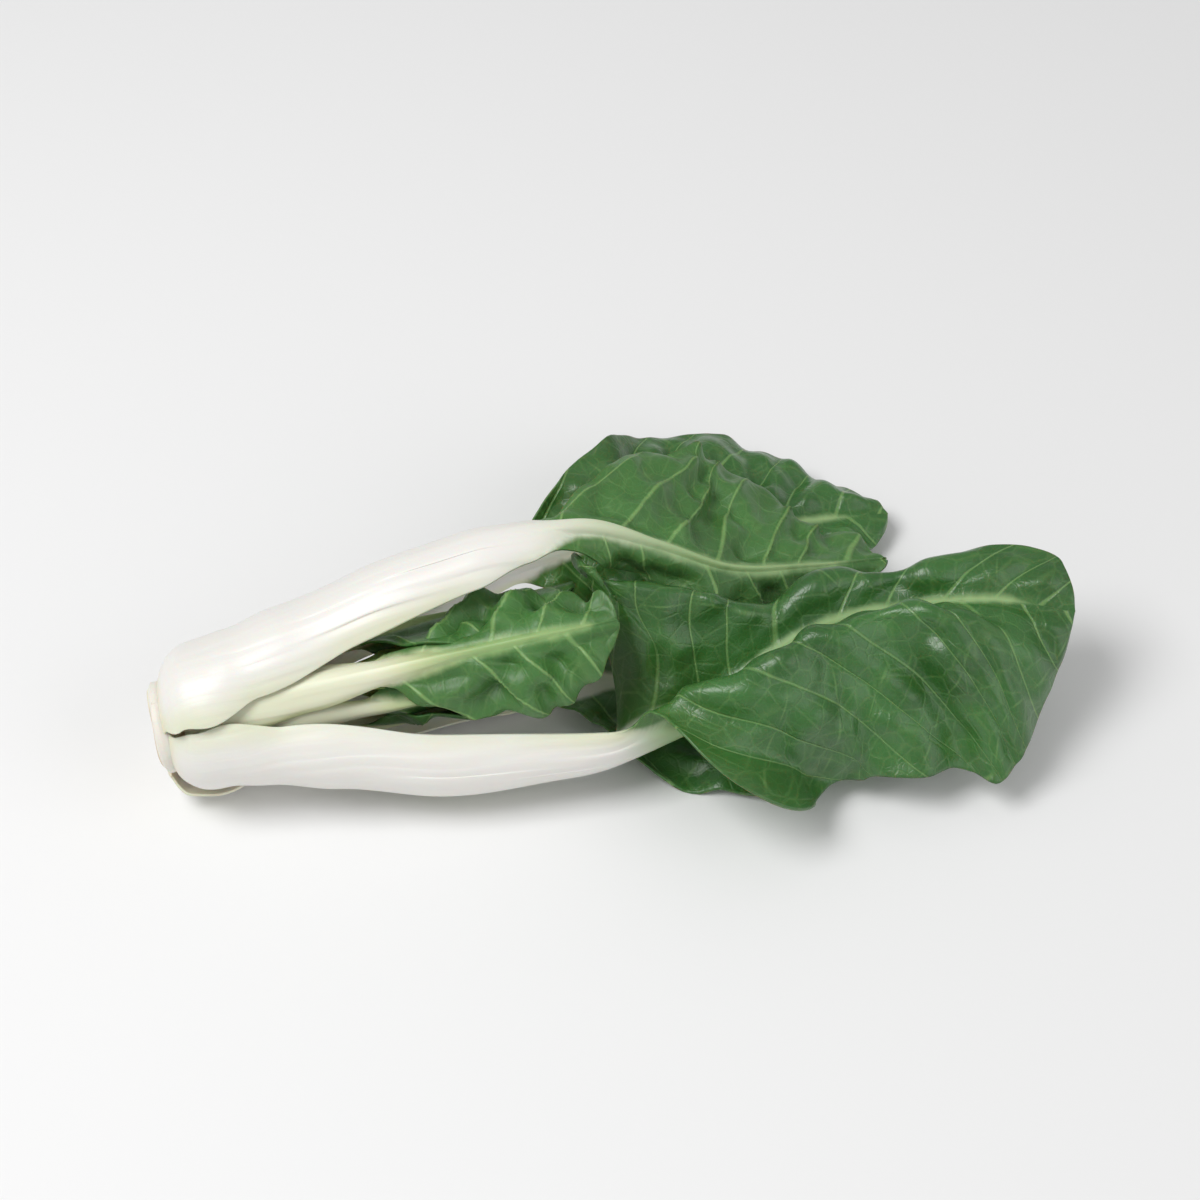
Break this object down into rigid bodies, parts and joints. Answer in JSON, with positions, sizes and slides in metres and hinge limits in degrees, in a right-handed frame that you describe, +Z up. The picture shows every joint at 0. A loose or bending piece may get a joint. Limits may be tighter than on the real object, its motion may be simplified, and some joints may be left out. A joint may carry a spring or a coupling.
{
  "type": "bok choy",
  "caption": "Whole head of bok choy lying on its side, with thick white stalks, a trimmed stem and dark green blades that fold, droop and curl.",
  "frame": {"origin": "middle of the bounding box's underside, on the surface that the head lies on", "axes": "+X runs along the head from the cut stem to the leaf tips, +Y across it to the far side, +Z up from the surface"},
  "size_m": [0.2048, 0.1114, 0.0533],
  "materials": {
    "outer_leaf": "semi-gloss leaf, white at the stalk",
    "middle_leaf": "satin young leaf, cream at the stalk",
    "heart_leaf": "satin pale leaf",
    "stem": "matt cut stem"
  },
  "bodies": {
    "root": {"outer_leaf_1_under": "outer_leaf", "outer_leaf_2_over": "outer_leaf", "outer_leaf_3_near": "outer_leaf", "outer_leaf_4_far": "outer_leaf", "middle_leaf_1_top": "middle_leaf", "middle_leaf_2_under": "middle_leaf", "middle_leaf_3_far": "middle_leaf", "middle_leaf_4_near": "middle_leaf", "heart_leaf_1": "heart_leaf", "heart_leaf_2": "heart_leaf", "trimmed_stem": "stem"}
  },
  "joints": []
}
